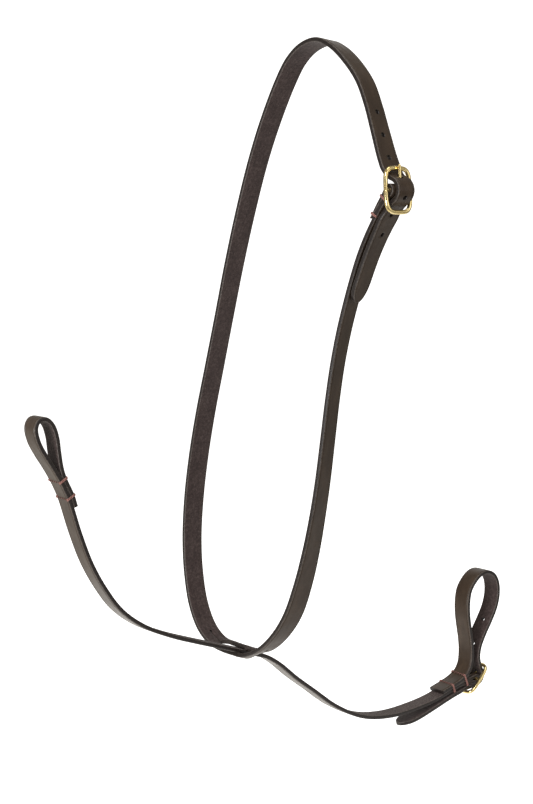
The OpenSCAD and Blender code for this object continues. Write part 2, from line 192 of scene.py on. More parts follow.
neck_path = Path(np.vstack([
    spline(columns(NECK_RETURN, thick=2)), fold(NECK_BAR, 139, -41),
    spline(columns(NECK_ROUTE, twist=2))]), "neck")
body_path = Path(np.vstack([
    spline(columns(TAIL_ROUTE[:0:-1] + BODY_ROUTE))[:-1],
    fold(GIRTH_BAR, -100, 85), spline(columns(GIRTH_RETURN, thick=2))]), "body")
girth_path = Path(spline(columns(GIRTH_ROUTE)), "body")

# ---- materials --------------------------------------------------------------------------------


class Nodes:
    """A material's node tree, with short ways to add to it."""

    def __init__(self, name):
        self.material = bpy.data.materials.new(name)
        self.material.use_nodes = True
        self.tree = self.material.node_tree
        self.tree.nodes.clear()
        self.out = self.add("ShaderNodeOutputMaterial")
        self.bsdf = self.add("ShaderNodeBsdfPrincipled")
        self.link(self.bsdf.outputs[0], self.out.inputs[0])

    def add(self, kind, **values):
        node = self.tree.nodes.new(kind)
        for key, value in values.items():
            if key in node.inputs:
                node.inputs[key].default_value = value
            else:
                setattr(node, key, value)
        return node

    def link(self, a, b):
        self.tree.links.new(a, b)

    def strap_coords(self, stretch=(1, 1, 1)):
        """Length along and across the strap, in metres, from the strap's own map."""
        uv = self.add("ShaderNodeUVMap", uv_map="strap")
        scale = self.add("ShaderNodeMapping")
        scale.inputs["Scale"].default_value = stretch
        self.link(uv.outputs[0], scale.inputs[0])
        return scale.outputs[0]

    def noise(self, coords, scale, detail=3.0, rough=0.55):
        n = self.add("ShaderNodeTexNoise", Scale=scale, Detail=detail, Roughness=rough)
        self.link(coords, n.inputs["Vector"])
        return n.outputs["Fac"]

    def spread(self, value, a0, a1, b0, b1):
        r = self.add("ShaderNodeMapRange")
        for i, x in enumerate((a0, a1, b0, b1)):
            r.inputs[i + 1].default_value = x
        self.link(value, r.inputs[0])
        return r.outputs[0]

    def ramp(self, value, stops):
        r = self.add("ShaderNodeValToRGB")
        while len(r.color_ramp.elements) < len(stops):
            r.color_ramp.elements.new(0.5)
        for e, (at, colour) in zip(r.color_ramp.elements, stops):
            e.position, e.color = at, (*colour, 1)
        self.link(value, r.inputs[0])
        return r.outputs[0]

    def math(self, op, a, b):
        m = self.add("ShaderNodeMath", operation=op)
        for i, x in enumerate((a, b)):
            if isinstance(x, (int, float)):
                m.inputs[i].default_value = x
            else:
                self.link(x, m.inputs[i])
        return m.outputs[0]

    def mix(self, share, a, b):
        m = self.add("ShaderNodeMix", data_type="RGBA")
        for i, x in ((0, share), (6, a), (7, b)):
            if isinstance(x, tuple):
                m.inputs[i].default_value = (*x, 1)
            else:
                self.link(x, m.inputs[i])
        return m.outputs[2]

    def rim_line(self, place, half, broken=None):
        """A fine line at a distance from the strap's edge; broken is a value that breaks it up."""
        apart = self.add("ShaderNodeSeparateXYZ")
        self.link(self.add("ShaderNodeUVMap", uv_map="rim").outputs[0], apart.inputs[0])
        off = self.math("ABSOLUTE", self.math("SUBTRACT", apart.outputs[1], place), 0)
        line = self.spread(off, 0.0, half, 1.0, 0.0)
        if broken is None:
            return line
        return self.math("MULTIPLY", line, self.spread(broken, 0.36, 0.64, 0.2, 1.0))

    def bump(self, height, distance, strength=1.0, under=None):
        b = self.add("ShaderNodeBump", Strength=strength, Distance=distance)
        self.link(height, b.inputs["Height"])
        if under is not None:
            self.link(under, b.inputs["Normal"])
        return b.outputs[0]


def grain_leather(name, shine):
    """Finished, waxed side of bridle leather: fine pores, faint mottling, painted shade as a dark
    line in the crease along each edge, and a painted highlight as a broken pale line outside it."""
    n = Nodes(name)
    flat = n.strap_coords()
    drawn = n.strap_coords((0.45, 1, 1))
    mottle = n.noise(drawn, 90, 4, 0.6)
    fine = n.noise(flat, 900, 3, 0.6)
    tone = n.math("ADD", n.math("MULTIPLY", mottle, 0.7), n.math("MULTIPLY", fine, 0.3))
    dye = n.ramp(tone, [(0.3, (0.030, 0.018, 0.011)), (0.5, (0.044, 0.028, 0.018)),
                        (0.72, (0.070, 0.046, 0.030))])
    # painted shade: the crease line along each edge is darkened in the colour, on top of the groove
    # in the section
    crease_shade = n.mix(n.math("MULTIPLY", n.rim_line(0.00162, 0.0005), 0.75), dye,
                    (0.010, 0.007, 0.006))
    # painted highlight: a broken pale line near each edge stands in for the glint along its rounded
    # corner
    painted_glint = n.rim_line(0.0009, 0.0004, n.noise(flat, 620, 2, 0.5))
    n.link(n.mix(n.math("MULTIPLY", painted_glint, 0.8), crease_shade, (0.20, 0.165, 0.135)),
           n.bsdf.inputs["Base Color"])
    n.link(n.spread(n.noise(drawn, 240, 4, 0.6), 0.3, 0.7, 0.36, 0.52), n.bsdf.inputs["Roughness"])
    n.bsdf.inputs["Specular IOR Level"].default_value = 0.24 + 0.2 * shine
    n.bsdf.inputs["Coat Weight"].default_value = 0.05 + 0.2 * shine
    n.bsdf.inputs["Coat Roughness"].default_value = 0.28
    pores = n.add("ShaderNodeTexVoronoi", Scale=1500)
    n.link(flat, pores.inputs["Vector"])
    dents = n.spread(pores.outputs["Distance"], 0.0, 0.45, 0.0, 1.0)
    first = n.bump(dents, 0.00003, 0.5)
    wrinkles = n.noise(n.strap_coords((1.5, 0.4, 1)), 260, 5, 0.6)
    n.link(n.bump(wrinkles, 0.00018, 0.6, under=first), n.bsdf.inputs["Normal"])
    return n.material


def flesh_leather(name, flecks):
    """Back of the leather: matt, fibrous, a little purple, with pale specks and fine wrinkles."""
    n = Nodes(name)
    flat = n.strap_coords()
    nap = n.noise(n.strap_coords((0.5, 1, 1)), 800, 5, 0.7)
    cloud = n.noise(flat, 70, 3, 0.5)
    pebbles = n.noise(flat, 380, 3, 0.6)
    tone = n.math("ADD", n.math("MULTIPLY", nap, 0.4), n.math("MULTIPLY", cloud, 0.2))
    tone = n.math("ADD", tone, n.math("MULTIPLY", pebbles, 0.4))
    dye = n.ramp(tone, [(0.36, (0.022, 0.0135, 0.013)), (0.5, (0.046, 0.030, 0.028)),
                        (0.64, (0.088, 0.063, 0.059))])
    specks = n.spread(n.noise(flat, 1050, 2, 0.5), 0.62 - 0.1 * flecks, 0.72 - 0.08 * flecks,
                      0.0, 0.4 + 0.4 * flecks)
    specked = n.mix(specks, dye, (0.19, 0.155, 0.14))
    # painted highlight: a broken pale line close to each edge of the back
    painted_glint = n.rim_line(0.0004, 0.0005, n.noise(flat, 560, 2, 0.5))
    n.link(n.mix(n.math("MULTIPLY", painted_glint, 0.75), specked, (0.26, 0.225, 0.21)),
           n.bsdf.inputs["Base Color"])
    n.link(n.spread(nap, 0.3, 0.7, 0.6, 0.85), n.bsdf.inputs["Roughness"])
    n.bsdf.inputs["Specular IOR Level"].default_value = 0.2
    n.bsdf.inputs["Sheen Weight"].default_value = 0.10
    n.bsdf.inputs["Sheen Roughness"].default_value = 0.5
    wrinkles = n.noise(n.strap_coords((1.6, 0.35, 1)), 420, 4, 0.65)
    n.link(n.bump(nap, 0.0002, 0.6, under=n.bump(wrinkles, 0.0004, 0.8)), n.bsdf.inputs["Normal"])
    return n.material


def edge_leather():
    """Cut edge, dyed nearly black and rubbed to a dull shine, with a painted highlight as a broken
    pale line along its corners.
    """
    n = Nodes("leather_edge")
    layers = n.strap_coords((0.25, 1, 1))
    fibre = n.noise(layers, 1600, 4, 0.6)
    dye = n.ramp(fibre, [(0.3, (0.009, 0.007, 0.006)), (0.55, (0.018, 0.013, 0.012)),
                         (0.75, (0.038, 0.027, 0.023))])
    # painted highlight: a broken pale line along each corner of the cut edge
    painted_glint = n.rim_line(0.0003, 0.00028, n.noise(n.strap_coords(), 600, 2, 0.5))
    n.link(n.mix(n.math("MULTIPLY", painted_glint, 0.6), dye, (0.22, 0.19, 0.17)),
           n.bsdf.inputs["Base Color"])
    n.link(n.spread(fibre, 0.3, 0.7, 0.3, 0.5), n.bsdf.inputs["Roughness"])
    n.bsdf.inputs["Specular IOR Level"].default_value = 0.35
    n.link(n.bump(fibre, 0.0001, 0.6), n.bsdf.inputs["Normal"])
    return n.material


def polished_brass():
    n = Nodes("brass")
    place = n.add("ShaderNodeTexCoord").outputs["Object"]
    cloud = n.noise(place, 160, 4, 0.6)
    fine = n.noise(place, 1400, 3, 0.6)
    n.link(n.ramp(cloud, [(0.35, (0.76, 0.58, 0.25)), (0.55, (0.88, 0.71, 0.35)),
                          (0.75, (0.95, 0.81, 0.47))]), n.bsdf.inputs["Base Color"])
    n.bsdf.inputs["Metallic"].default_value = 1.0
    n.link(n.spread(fine, 0.3, 0.7, 0.14, 0.24), n.bsdf.inputs["Roughness"])
    n.link(n.bump(cloud, 0.00003, 0.15), n.bsdf.inputs["Normal"])
    return n.material


def waxed_thread(name, dark, light):
    """Two-ply waxed thread: slanting plies along its own map."""
    n = Nodes(name)
    uv = n.add("ShaderNodeUVMap", uv_map="strap").outputs[0]
    wave = n.add("ShaderNodeTexWave", Scale=420, Distortion=0.6, wave_type="BANDS",
                 bands_direction="DIAGONAL")
    n.link(uv, wave.inputs["Vector"])
    fuzz = n.noise(uv, 2500, 3, 0.6)
    tone = n.math("ADD", n.math("MULTIPLY", wave.outputs["Fac"], 0.65),
                  n.math("MULTIPLY", fuzz, 0.35))
    n.link(n.ramp(tone, [(0.2, dark), (0.8, light)]), n.bsdf.inputs["Base Color"])
    n.link(n.spread(fuzz, 0.3, 0.7, 0.45, 0.7), n.bsdf.inputs["Roughness"])
    n.link(n.bump(wave.outputs["Fac"], 0.00025, 0.8), n.bsdf.inputs["Normal"])
    return n.material


GRAIN, GRAIN_WAXED = grain_leather("leather_grain", 0), grain_leather("leather_waxed", 1)
EDGE = edge_leather()
FLESH, FLESH_ROUGH = flesh_leather("leather_flesh", 0.0), flesh_leather("leather_flesh_rough", 1.0)
BRASS = polished_brass()
THREAD = waxed_thread("thread", (0.14, 0.055, 0.047), (0.40, 0.19, 0.16))
# a darker copy of the same thread, used for the stitches on the faces; the edge wraps use the
# lighter one
THREAD_DARK = waxed_thread("thread_face_darker", (0.075, 0.028, 0.024), (0.26, 0.115, 0.095))

# ---- mesh helpers -----------------------------------------------------------------------------


def finish_mesh(name, bm, materials, sharp_deg=48, outward=True):
    if outward:
        bmesh.ops.recalc_face_normals(bm, faces=bm.faces)
    for f in bm.faces:
        f.smooth = True
    limit = math.radians(sharp_deg)
    for e in bm.edges:
        e.smooth = not (len(e.link_faces) == 2 and e.calc_face_angle(0) > limit)
    me = bpy.data.meshes.new(name)
    bm.to_mesh(me)
    bm.free()
    for m in materials:
        me.materials.append(m)
    ob = bpy.data.objects.new(name, me)
    bpy.context.scene.collection.objects.link(ob)
    return ob


LEATHER = (GRAIN, FLESH, EDGE)
WAXED, WAXED_ROUGH = (GRAIN_WAXED, FLESH, EDGE), (GRAIN_WAXED, FLESH_ROUGH, EDGE)


def profile(w, t, left=True, right=True):
    """Section of a strap, once round: across, and height above the middle with the grain up.
    left and right say which sides have a rounded, creased edge; the other side is cut square."""
    k = min(1.0, t / THICK, w / 0.008)
    rim = [(0.0, 0.9), (0.10, 0.42), (0.36, 0.10), (0.85, 0.0)]
    crease = [(1.25, 0.0), (1.48, 0.27), (1.62, 0.34), (1.76, 0.27), (2.02, 0.0), (2.8, -0.03)]
    back = [(0.85, 0.0), (0.36, 0.10), (0.10, 0.42), (0.0, 0.9)]
    top, bottom = [], []
    if left:
        top += [(-w / 2 + a * MM * k, t / 2 - b * MM * k) for a, b in rim + crease]
        bottom += [(-w / 2 + a * MM * k, -t / 2 + b * MM * k) for a, b in back]
    else:
        top += [(-w / 2, t / 2 - 0.12 * MM), (-w / 2 + 0.12 * MM, t / 2)]
        bottom += [(-w / 2 + 0.12 * MM, -t / 2), (-w / 2, -t / 2 + 0.12 * MM)]
    inner = (-0.25, 0.0, 0.25) if left and right else (0.0,)
    middle = [(w * c, t / 2 + 0.03 * MM) for c in inner]
    under = [(w * c, -t / 2 - 0.03 * MM) for c in inner]
    if right:
        top_r = [(w / 2 - a * MM * k, t / 2 - b * MM * k) for a, b in (rim + crease)[::-1]]
        bottom_r = [(w / 2 - a * MM * k, -t / 2 + b * MM * k) for a, b in back[::-1]]
    else:
        top_r = [(w / 2 - 0.12 * MM, t / 2), (w / 2, t / 2 - 0.12 * MM)]
        bottom_r = [(w / 2, -t / 2 + 0.12 * MM), (w / 2 - 0.12 * MM, -t / 2)]
    return top + middle + top_r + bottom_r + under[::-1] + bottom


def side_of(p, q, w):
    """Material of the stretch of section from p to q: 0 grain, 1 flesh, 2 edge."""
    h = (p[1] + q[1]) / 2
    steep = abs(p[1] - q[1]) > 0.55 * abs(p[0] - q[0])
    near_edge = abs(abs(p[0] + q[0]) / 2 - w / 2) < 0.0004 or abs(abs(p[0] + q[0]) / 2) < 0.0004
    if near_edge and steep:
        return 2
    return 0 if h > 0 else 1


def rings(path, s0, s1, step=0.0015, tip_end=False):
    s = list(np.linspace(s0, s1, max(2, int(round((s1 - s0) / step)) + 1)))
    if tip_end:
        tip = [s1 - 0.004 * (1 - f) ** 2 for f in np.linspace(0, 1, 12)]
        s = [x for x in s if x < s1 - 0.004] + tip
    return s


def point_share(u):
    return 1.0 if u >= 1 else max(0.10, math.sqrt(1 - (1 - max(u, 0)) ** 2.2))


def ease(u):
    return (1 - math.cos(math.pi * min(max(u, 0), 1))) / 2


def pinched(width, d):
    """Width of a billet at a distance past the tongue's hole, where its buckle pinches it."""
    share = ease((d + PINCH_BEFORE) / PINCH_EASE + 1) * ease((PINCH_AFTER - d) / PINCH_EASE + 1)
    return width - (width - PINCH_W) * share


def mapped():
    """New mesh with two maps: length along and place across, and distance from the edge."""
    bm = bmesh.new()
    for layer in ("strap", "rim"):
        bm.loops.layers.uv.new(layer)
    return bm, bm.loops.layers.uv["strap"], bm.loops.layers.uv["rim"]


def strap(name, path, s0, s1, width, grain, tongue_s=None, leather=LEATHER):
    """Leather swept along a path, closed at both ends. grain is +1 where the grain side faces the
    path's thickness vector. With tongue_s it is a billet, with a pinched stretch and a point."""
    bm, uv, rim = mapped()
    previous, caps = None, []
    for s in rings(path, s0, s1, tip_end=tongue_s is not None):
        c, t, w, n, thick = path.frame(s)
        g = n * grain
        wide = width
        if tongue_s is not None:
            wide = pinched(width, s - tongue_s) * point_share((s1 - s) / POINT_LEN)
        ring = profile(wide, thick)
        verts = [bm.verts.new(c + w * a + g * h) for a, h in ring]
        if previous:
            old, old_s = previous
            for i in range(len(ring)):
                j = (i + 1) % len(ring)
                f = bm.faces.new((old[i], old[j], verts[j], verts[i]))
                f.material_index = side_of(ring[i], ring[j], wide)
                if f.material_index == 2:
                    v = (ring[i][1], ring[j][1])
                else:
                    v = (ring[i][0], ring[j][0])
                size = thick if f.material_index == 2 else wide
                places = ((old_s, v[0]), (old_s, v[1]), (s, v[1]), (s, v[0]))
                for loop, (along, v_) in zip(f.loops, places):
                    loop[uv].uv = (along, v_ + 0.1 * f.material_index)
                    loop[rim].uv = (along, size / 2 - abs(v_))
        else:
            caps.append(verts)
        previous = (verts, s)
    caps.append(previous[0])
    for verts in caps:
        f = bm.faces.new(verts)
        f.material_index = 2
        for loop in f.loops:
            loop[uv].uv = (loop.vert.co.x + loop.vert.co.y, loop.vert.co.z)
    return finish_mesh(name, bm, leather)


def punch(ob, places, stretch=1.0):
    """Cuts holes through the leather. places holds (middle, outward grain direction, radius).
    A slanting hole needs a cutter stretched along its length."""
    bm = bmesh.new()
    uv = bm.loops.layers.uv.new("strap")
    for c, g, r in places:
        g = Vector(g).normalized()
        x = g.orthogonal().normalized()
        y = g.cross(x)
        levels = [(0.0030, r + 0.0016), (0.0017, r + 0.00045), (0.0013, r + 0.0001), (0.0009, r),
                  (-0.0009, r), (-0.0014, r + 0.0001), (-0.0030, r + 0.0002)]
        turns = np.linspace(0, 2 * math.pi, 28, endpoint=False)
        loops = [[bm.verts.new(Vector(c) + g * h * stretch
                               + (x * math.cos(a) + y * math.sin(a)) * q) for a in turns]
                 for h, q in levels]
        for low, high in zip(loops, loops[1:]):
            for i in range(28):
                bm.faces.new((low[i], low[(i + 1) % 28], high[(i + 1) % 28], high[i]))
        bm.faces.new(loops[0])
        bm.faces.new(loops[-1][::-1])
    for f in bm.faces:
        for loop in f.loops:
            loop[uv].uv = (loop.vert.co.x, loop.vert.co.z)
    return cut(ob, bm)


def cut(ob, bm):
    """Takes the solids in bm away from a piece, and shows the leather's dyed edge on the cuts."""
    cutter = finish_mesh("cutter", bm, (EDGE,))
    mod = ob.modifiers.new("holes", "BOOLEAN")
    mod.operation, mod.solver, mod.object = "DIFFERENCE", "EXACT", cutter
    mod.material_mode = "TRANSFER"
    bpy.context.view_layer.update()
    done = bpy.data.meshes.new_from_object(ob.evaluated_get(bpy.context.evaluated_depsgraph_get()))
    ob.modifiers.clear()
    ob.data = done
    bpy.data.objects.remove(cutter)
    bm = bmesh.new()
    bm.from_mesh(done)
    for e in bm.edges:
        e.smooth = not (len(e.link_faces) == 2 and e.calc_face_angle(0) > math.radians(48))
    bm.to_mesh(done)
    bm.free()
    return ob


def tube(bm, uv, points, radius, sides=8, material=0, flat=1.0, up=None):
    """Round rod through points, with closed ends. radius may be a list, and flat squeezes the
    rod along up."""
    p = [Vector(q) for q in points]
    r = radius if isinstance(radius, (list, tuple)) else [radius] * len(p)
    along, before, ref = 0.0, None, Vector(up) if up is not None else None
    for i, c in enumerate(p):
        t = (p[min(i + 1, len(p) - 1)] - p[max(i - 1, 0)]).normalized()
        if ref is None:
            ref = t.orthogonal()
        x = (ref - t * ref.dot(t)).normalized()
        if up is None:
            ref = x
        y = t.cross(x)
        if i:
            along += (c - p[i - 1]).length
        ring = [bm.verts.new(c + (x * math.cos(a) * flat + y * math.sin(a)) * r[i])
                for a in np.linspace(0, 2 * math.pi, sides, endpoint=False)]
        if before:
            for k in range(sides):
                m = (k + 1) % sides
                f = bm.faces.new((before[0][k], before[0][m], ring[m], ring[k]))
                f.material_index = material
                places = ((before[1], k), (before[1], k + 1), (along, k + 1), (along, k))
                for loop, q in zip(f.loops, places):
                    loop[uv].uv = (q[0], q[1] * 2 * math.pi * r[i] / sides)
        else:
            bm.faces.new(ring[::-1]).material_index = material
        before = (ring, along)
    bm.faces.new(before[0]).material_index = material


# ---- the neck strap, with its slit -------------------------------------------------------------

slit_mid = neck_path.near(-108, -490.6)
neck_tongue_s = neck_path.near(83.0, -101.8)
SLOPE = math.radians(SLIT_SLOPE)
LIP_SHIFT = (THICK + LIP_PLAY) / math.cos(SLOPE) - NECK_W / 4 * math.sin(SLOPE)


def lip_open(v):
    """How far the lips stand apart: 1 where the body strap passes, 0 towards the slit's ends."""
    return 1 - ease((v - LIP_FLAT) / (LIP_END - LIP_FLAT))


def neck_strap():
    """Swept like the others, but as two halves that part along the slit."""
    bm, uv, rim = mapped()
    path, s1 = neck_path, neck_path.length
    before = None
    for s in rings(path, 0, s1, tip_end=True):
        c, t, w, n, thick = path.frame(s)
        wide = pinched(NECK_W, s - neck_tongue_s) * point_share((s1 - s) / POINT_LEN)
        from_mid = abs(s - slit_mid)
        open_, parted = lip_open(from_mid / (SLIT_LEN / 2)), from_mid < SLIT_LEN / 2
        tilt, q = SLOPE * open_, wide / 4
        wl = math.cos(tilt) * w - math.sin(tilt) * n
        nl = math.cos(tilt) * n + math.sin(tilt) * w
        off = w * q * math.cos(tilt) + n * LIP_SHIFT * open_
        halves = []
        for half in (0, 1):
            # section of one half about its own middle; its inner side is cut square
            section = profile(wide / 2, thick, left=half == 0, right=half == 1)
            kerf = SLIT_CUT / 2 if parted else 0.0
            inner = (wide / 4) * (1 if half == 0 else -1)
            shaped = []
            for a, h in section:
                at_cut = abs(a - inner) < 0.0002
                if at_cut and not parted:
                    # no slit here: the inner corners flatten out so the halves meet
                    h = math.copysign(thick / 2 + 0.03 * MM, h)
                    a = inner
                elif at_cut:
                    a -= math.copysign(kerf, inner)
                shaped.append((a, h))
            mid = c - off if half == 0 else c + off
            verts = [bm.verts.new(mid + wl * a - nl * h) for a, h in shaped]
            across = [a + (-q if half == 0 else q) for a, h in shaped]
            halves.append((verts, shaped, across))
        if before:
            for half in (0, 1):
                old, _, _ = before[0][half]
                verts, section, across = halves[half]
                inner = (wide / 4) * (1 if half == 0 else -1)
                for i in range(len(section)):
                    j = (i + 1) % len(section)
                    cut_wall = (abs(section[i][0] - inner) < 0.0004
                                and abs(section[j][0] - inner) < 0.0004
                                and section[i][1] * section[j][1] < 0)
                    if cut_wall and not (parted or before[2]):
                        continue
                    corners = []
                    for x in (old[i], old[j], verts[j], verts[i]):
                        if x not in corners:
                            corners.append(x)
                    f = bm.faces.new(corners)
                    kind = 2 if cut_wall else side_of(
                        (across[i], section[i][1]), (across[j], section[j][1]), wide)
                    if not cut_wall and abs(across[i]) < 0.001 and abs(across[j]) < 0.001:
                        kind = 0 if section[i][1] + section[j][1] > 0 else 1
                    f.material_index = kind
                    v = (section[i][1], section[j][1]) if kind == 2 else (across[i], across[j])
                    size = thick if kind == 2 else wide
                    places = ((before[1], v[0]), (before[1], v[1]), (s, v[1]), (s, v[0]))
                    for loop, (along, v_) in zip(f.loops, places):
                        loop[uv].uv = (along, v_ + 0.1 * kind)
                        loop[rim].uv = (along, size / 2 - abs(v_))
        else:
            first = halves
        before = (halves, s, parted)
    for ends in (first, before[0]):
        for verts, _, _ in ends:
            bm.faces.new(verts).material_index = 2
    bmesh.ops.remove_doubles(bm, verts=bm.verts, dist=2e-6)
    bmesh.ops.dissolve_degenerate(bm, dist=1e-6, edges=bm.edges)
    return finish_mesh("neck_strap_leather", bm, LEATHER)


def hole_at(path, s, grain, r=HOLE_D / 2):
    c, _, _, n, _ = path.frame(s)
    return (c, n * grain, r)


def buckle_frame_matrix(bar, lean, plane):
    if plane == "neck":
        return Matrix.Translation((bar[0], 0, bar[1])) @ Matrix.Rotation(math.radians(lean), 4, "Y")
    return (Matrix.Translation((BODY_X, bar[0], bar[1])) @ Matrix.Rotation(math.radians(90), 4, "Z")
            @ Matrix.Rotation(math.radians(lean), 4, "Y"))


NECK_BUCKLE = buckle_frame_matrix(NECK_BAR, NECK_LEAN, "neck")
GIRTH_BUCKLE = buckle_frame_matrix(GIRTH_BAR, GIRTH_LEAN, "girth")


def tongue_slot(ob, path, s, grain, matrix, swings):
    """The hole in use, drawn out along the swing of the tongue that stands in it."""
    c, _, _, n, _ = path.frame(s)
    for swing in swings:
        turned = matrix @ Matrix.Rotation(math.radians(swing), 4, "Y")
        up = turned.to_3x3() @ Vector((0, 0, 1))
        height = (turned.inverted() @ Vector(c)).z
        out = up if up.dot(Vector(n * grain)) > 0 else -up
        place = turned @ Vector((TONGUE_X, 0, height))
        punch(ob, [(place, out, TONGUE_HOLE_R)], TONGUE_HOLE_STRETCH)


def fold_slot(ob, matrix):
    """The slot that gives the tongue's foot its room where the leather is folded round the bar."""
    bm = bmesh.new()
    bmesh.ops.create_cone(bm, cap_ends=True, segments=48, radius1=FOLD_SLOT_R,
                          radius2=FOLD_SLOT_R, depth=FOLD_SLOT_W,
                          matrix=matrix @ Matrix.Rotation(math.radians(90), 4, "X"))
    cut(ob, bm)


neck = neck_strap()
punch(neck, [hole_at(neck_path, neck_tongue_s + k * NECK_HOLE_STEP - NECK_HOLE_SHIFT, -1)
             for k in (-3, -2, -1, 1, 2, 3)]
      + [hole_at(neck_path, slit_mid + k * SLIT_LEN / 2, -1, SLIT_END_HOLE_R) for k in (-1, 1)])
tongue_slot(neck, neck_path, neck_tongue_s, -1, NECK_BUCKLE, (-1.5, 3.5, 8.5))
fold_slot(neck, NECK_BUCKLE)
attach(neck, "neck")
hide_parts("neck_strap")

# ---- the body strap, in stretches that meet at the joints ---------------------------------------

# where the strap bends, and how far to either side of that place it curves
BENDS = {"nose_loop": (-160, -370, 0.016, 0.045), "nose_slit": (-50, -473.5, 0.045, 0.026),
         "girth_slit": (56, -523, 0.026, 0.045), "girth_end": (170, -580, 0.050, 0.012)}
cut_nose, cut_slit, cut_girth = (body_path.near(-123, -435.5), body_path.near(0, -490.6),
                                 body_path.near(104, -558.5))
STRETCHES = [
    ("body_strap_nose_end", 0, cut_nose, "nose_loop", "nose_run", "nose_loop", ("noseband_loop",)),
    ("body_strap_nose_run", cut_nose, cut_slit, "nose_run", "strap", "nose_slit",
     ("body_strap_noseband_run",)),
    ("body_strap_through", cut_slit, cut_girth, "strap", "girth_run", "girth_slit",
     ("body_strap_middle",)),
    ("body_strap_girth_end", cut_girth, body_path.length, "girth_run", "girth_end", "girth_end",
     ("body_strap_girth_run", "body_strap_girth_end"))]
for name, s0, s1, body_a, body_b, bend, nodes in STRETCHES:
    ob = strap(name + "_leather", body_path, s0, s1, BODY_W, -1,
               leather=WAXED if "nose" in name else WAXED_ROUGH)
    if bend == "girth_end":
        fold_slot(ob, GIRTH_BUCKLE)
    u, v, short, far = BENDS[bend]
    at = body_path.near(u, v)
    tuple(body_path.frame(at - short)[0])
    tuple(body_path.frame(at + far)[0])
    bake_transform(ob)
    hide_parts(*nodes)

girth_tongue_s = girth_path.near(289.2, -561.5)
girth = strap("girth_loop_leather", girth_path, 0, girth_path.length, GIRTH_W, 1, girth_tongue_s)
punch(girth, [hole_at(girth_path, girth_tongue_s + k * GIRTH_HOLE_STEP - GIRTH_HOLE_SHIFT, 1)
              for k in (-2, -1, 1, 2)])
tongue_slot(girth, girth_path, girth_tongue_s, 1, GIRTH_BUCKLE, (-5, 0, 4.5, 8))
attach(girth, "girth_end")
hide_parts("girth_loop_strap")

# ---- buckles ------------------------------------------------------------------------------------


def buckle(name, matrix, body, node):
    """Cast frame with a rounded section, and a bar across its middle."""
    bm = bmesh.new()
    uv = bm.loops.layers.uv.new("strap")
    sq = lambda v, e: math.copysign(abs(v) ** (2 / e), v)
    half_w, half_l = (BUCKLE_W - ROD_D) / 2, (BUCKLE_L - ROD_D) / 2
    spot = lambda a: Vector((0, half_w * sq(math.cos(a), FRAME_CURVE),
                             half_l * sq(math.sin(a), FRAME_CURVE)))
    fine = 1440
    raw = [spot(a) for a in np.linspace(0, 2 * math.pi, fine, endpoint=False)]
    gaps = [(raw[(i + 1) % fine] - raw[i]).length for i in range(fine)]
    length = np.concatenate([[0], np.cumsum(gaps)])
    count, sides, loops = 112, 20, []
    for k in range(count):
        i = int(np.searchsorted(length, length[-1] * k / count)) % fine
        t = (raw[(i + 4) % fine] - raw[i - 4]).normalized()
        out = Vector((1, 0, 0)).cross(t)
        if out.dot(raw[i]) < 0:
            out = -out
        loops.append([bm.verts.new(raw[i] + out * sq(math.cos(b), 2.3) * ROD_D / 2
                                   + Vector((1, 0, 0)) * sq(math.sin(b), 2.3) * ROD_D * 0.47)
                      for b in np.linspace(0, 2 * math.pi, sides, endpoint=False)])
    for k in range(count):
        a, b = loops[k], loops[(k + 1) % count]
        for m in range(sides):
            bm.faces.new((a[m], a[(m + 1) % sides], b[(m + 1) % sides], b[m]))
    ends = [-half_w + 0.0002, -half_w + 0.001, half_w - 0.001, half_w - 0.0002]
    bar_r = BAR_D / 2
    tube(bm, uv, [(0, y, 0) for y in ends], [bar_r - 0.0003, bar_r, bar_r, bar_r - 0.0003],
         sides=32)
    bmesh.ops.transform(bm, matrix=matrix, verts=bm.verts)
    ob = finish_mesh(name, bm, (BRASS,), sharp_deg=60)
    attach(ob, body)
    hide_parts(node)


def tongue(name, matrix, body, node):
    """Prong of round wire, flattened and rolled round the bar at its foot."""
    bm = bmesh.new()
    uv = bm.loops.layers.uv.new("strap")
    sides, inner, outer, half = 40, BAR_D / 2 + 0.00008, 0.0032, 0.0017
    section = [(inner, -half), (outer - 0.0004, -half), (outer - 0.0001, -half + 0.00015),
               (outer, -half + 0.0005), (outer, half - 0.0005), (outer - 0.0001, half - 0.00015),
               (outer - 0.0004, half), (inner, half)]
    loops = [[bm.verts.new((r * math.cos(a), y, r * math.sin(a))) for r, y in section]
             for a in np.linspace(0, 2 * math.pi, sides, endpoint=False)]
    for k in range(sides):
        a, b = loops[k], loops[(k + 1) % sides]
        for m in range(len(section)):
            j = (m + 1) % len(section)
            bm.faces.new((a[m], a[j], b[j], b[m]))
    line = spline([(1.7, 1.4), (2.3, 4.2), (2.7, 7), (2.85, 11), (3.05, 15.8), (2.85, 17.4),
                   (2.5, 18.4)], 6)
    n = len(line)
    tip = lambda i: 1 if i < n - 6 else math.sqrt(max(0.05, (n - i) / 6.5))
    radii = [TONGUE_D / 2 * (1.22 - 0.22 * min(1, i / (n * 0.35))) * tip(i) for i in range(n)]
    tube(bm, uv, [(x * MM, 0, z * MM) for x, z in line], radii, sides=16, flat=0.9, up=(1, 0, 0))
    bmesh.ops.transform(bm, matrix=matrix, verts=bm.verts)
    ob = finish_mesh(name, bm, (BRASS,), sharp_deg=60)
    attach(ob, body)
    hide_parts(node)


buckle("neck_buckle_ring", NECK_BUCKLE, "neck_frame", "neck_buckle_frame")
buckle("girth_buckle_ring", GIRTH_BUCKLE, "girth_frame", "girth_buckle_frame")
tongue("neck_buckle_prong", NECK_BUCKLE, "neck_prong", "neck_buckle_tongue")
tongue("girth_buckle_prong", GIRTH_BUCKLE, "girth_prong", "girth_buckle_tongue")

# ---- stitching ----------------------------------------------------------------------------------

THREAD_R = 0.00042
# how far the end stitches stay from the strap's edges, and edge thread reaches over its faces
STITCH_INSET, EDGE_REACH = 0.0011, 0.0020


